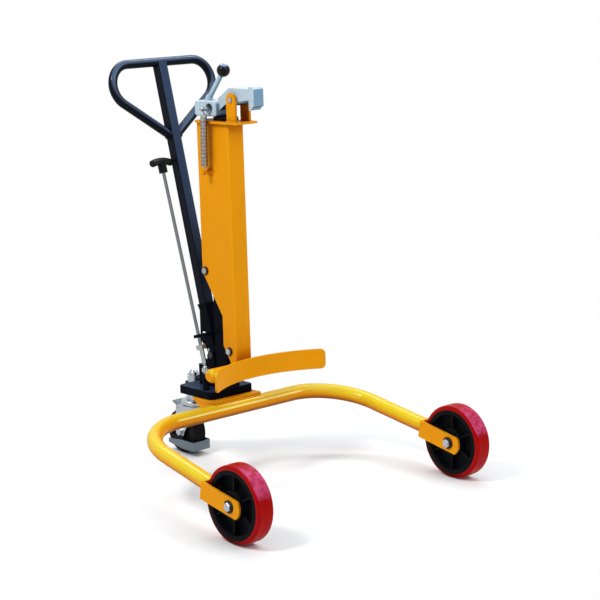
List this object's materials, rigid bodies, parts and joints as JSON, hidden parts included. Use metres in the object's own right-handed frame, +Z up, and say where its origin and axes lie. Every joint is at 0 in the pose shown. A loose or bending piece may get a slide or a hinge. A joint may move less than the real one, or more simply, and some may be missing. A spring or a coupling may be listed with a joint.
{
  "type": "drum trolley",
  "caption": "Manual drum trolley with a bent tube frame, large front wheels, rear castor, hydraulic lifting mast, drum cradle and a beak clamp for the drum's rim.",
  "frame": {"origin": "axis of the carried drum at floor level, midway between the front wheels across the trolley", "axes": "+Z up, -Y toward the front wheels where the drum enters, +Y toward the operator, +X to the right seen looking along +Y"},
  "size_m": [0.864, 0.8916, 1.1148],
  "materials": {
    "yellow_paint": "semi-gloss orange-yellow powder coat",
    "black_casting": "satin black paint",
    "blue_black_paint": "semi-gloss black paint with a blue sheen",
    "zinc": "bright zinc plate",
    "spring_steel": "bright spring wire",
    "chrome": "polished chrome",
    "dark_steel": "blackened steel",
    "bearing_steel": "ground steel",
    "grey_casting": "silver-grey paint on a casting",
    "black_plastic": "glossy black moulding",
    "wheel_nylon": "black glass-filled nylon",
    "red_tread": "deep red polyurethane",
    "black_tread": "black rubber"
  },
  "bodies": {
    "chassis": {"frame_tube": "yellow_paint", "left_wheel_fork": "yellow_paint", "right_wheel_fork": "yellow_paint", "axle_bolts": "zinc", "axle_washers": "dark_steel", "mounting_plate": "yellow_paint", "mount_gussets": "yellow_paint", "base_screws": "zinc", "pump_base": "black_casting", "pump_body": "black_casting", "handle_pivot_pin": "zinc", "guide_column": "black_casting", "jack_cylinder": "black_casting", "column_cap": "black_casting", "release_valve_post": "black_casting", "castor_race": "zinc", "castor_king_bolt": "chrome"},
    "left_wheel": {"left_wheel_tyre": "red_tread", "left_wheel_hub": "wheel_nylon", "left_wheel_bearings": "bearing_steel"},
    "right_wheel": {"right_wheel_tyre": "red_tread", "right_wheel_hub": "wheel_nylon", "right_wheel_bearings": "bearing_steel"},
    "mast": {"mast_channel": "yellow_paint", "top_plate": "yellow_paint", "clamp_ears": "yellow_paint", "clamp_pivot_pin": "zinc", "lift_ram": "chrome", "drum_cradle": "yellow_paint", "cradle_crossbar": "yellow_paint", "guide_bolts": "zinc", "guide_washers": "dark_steel", "spring_stud": "yellow_paint", "clamp_spring": "spring_steel"},
    "front_roller": {"front_guide_roller": "bearing_steel"},
    "rear_roller": {"rear_guide_roller": "bearing_steel"},
    "clamp": {"clamp_arm": "grey_casting", "spring_pin": "zinc", "clamp_lever": "zinc", "ball_knob": "black_plastic"},
    "handle": {"handle_loop": "blue_black_paint", "handle_stem": "blue_black_paint", "handle_socket": "black_casting", "press_nose": "zinc", "rod_guide": "black_casting", "guide_screw": "zinc"},
    "plunger": {"pump_plunger": "zinc"},
    "rod_tilt": {"release_ball_stud": "zinc"},
    "release": {"release_rod": "zinc", "rod_coupling": "zinc", "release_knob": "black_plastic"},
    "valve": {"valve_spindle": "zinc"},
    "castor": {"castor_yoke": "zinc", "castor_axle": "zinc", "foot_guard": "zinc", "guard_blocks": "black_plastic", "brake_pin": "zinc"},
    "castor_wheel": {"castor_tyre": "black_tread", "castor_hub": "wheel_nylon"},
    "brake": {"brake_pedal": "zinc"}
  },
  "joints": [
    {"name": "mast_lift", "type": "slide", "parent": "chassis", "child": "mast", "axis": [0, 0.0363, 0.9993], "range_m": [-0.09, 0.15]},
    {"name": "left_wheel_spin", "type": "hinge", "parent": "chassis", "child": "left_wheel", "pos_m": [-0.3885, -0.0893, 0.1], "axis": [1, 0, 0], "continuous": true},
    {"name": "right_wheel_spin", "type": "hinge", "parent": "chassis", "child": "right_wheel", "pos_m": [0.3885, -0.0893, 0.1], "axis": [1, 0, 0], "continuous": true},
    {"name": "front_roller_spin", "type": "hinge", "parent": "mast", "child": "front_roller", "pos_m": [0, 0.36979, 0.33789], "axis": [1, 0, 0], "continuous": true},
    {"name": "rear_roller_spin", "type": "hinge", "parent": "mast", "child": "rear_roller", "pos_m": [0, 0.4671, 0.5485], "axis": [1, 0, 0], "continuous": true},
    {"name": "clamp_hinge", "type": "hinge", "parent": "mast", "child": "clamp", "pos_m": [0, 0.35319, 1.02415], "axis": [1, 0, 0], "range_deg": [0, 22], "stiffness_Nm_per_rad": 6, "springref_deg": -11.46, "deforming": ["clamp_spring"]},
    {"name": "handle_swing", "type": "hinge", "parent": "chassis", "child": "handle", "pos_m": [0, 0.45198, 0.31389], "axis": [-1, 0, 0], "range_deg": [0, 55], "stiffness_Nm_per_rad": 14, "springref_deg": -34.7},
    {"name": "plunger_slide", "type": "slide", "parent": "chassis", "child": "plunger", "axis": [0, 0.0363, 0.9993], "range_m": [-0.0208, 0]},
    {"name": "rod_tilt_hinge", "type": "hinge", "parent": "chassis", "child": "rod_tilt", "pos_m": [-0.062, 0.43309, 0.28706], "axis": [-1, 0, 0], "range_deg": [0, 36]},
    {"name": "release_turn", "type": "hinge", "parent": "rod_tilt", "child": "release", "pos_m": [-0.062, 0.43309, 0.28706], "axis": [0, 0.3054, 0.9522], "range_deg": [0, 90]},
    {"name": "valve_turn", "type": "hinge", "parent": "chassis", "child": "valve", "pos_m": [-0.062, 0.43309, 0.28706], "axis": [0, 0.0363, 0.9993], "range_deg": [0, 90]},
    {"name": "castor_swivel", "type": "hinge", "parent": "chassis", "child": "castor", "pos_m": [0, 0.56114, 0.145], "axis": [0, 0, 1], "continuous": true},
    {"name": "castor_spin", "type": "hinge", "parent": "castor", "child": "castor_wheel", "pos_m": [0, 0.59714, 0.0625], "axis": [1, 0, 0], "continuous": true},
    {"name": "brake_hinge", "type": "hinge", "parent": "castor", "child": "brake", "pos_m": [0, 0.60814, 0.132], "axis": [-1, 0, 0], "range_deg": [0, 15]}
  ],
  "couplings": [
    {"joint": "plunger_slide", "follows": "handle_swing", "m_per_rad": -0.021165},
    {"joint": "rod_tilt_hinge", "follows": "handle_swing", "ratio": 0.6424},
    {"joint": "valve_turn", "follows": "release_turn", "ratio": 1}
  ]
}
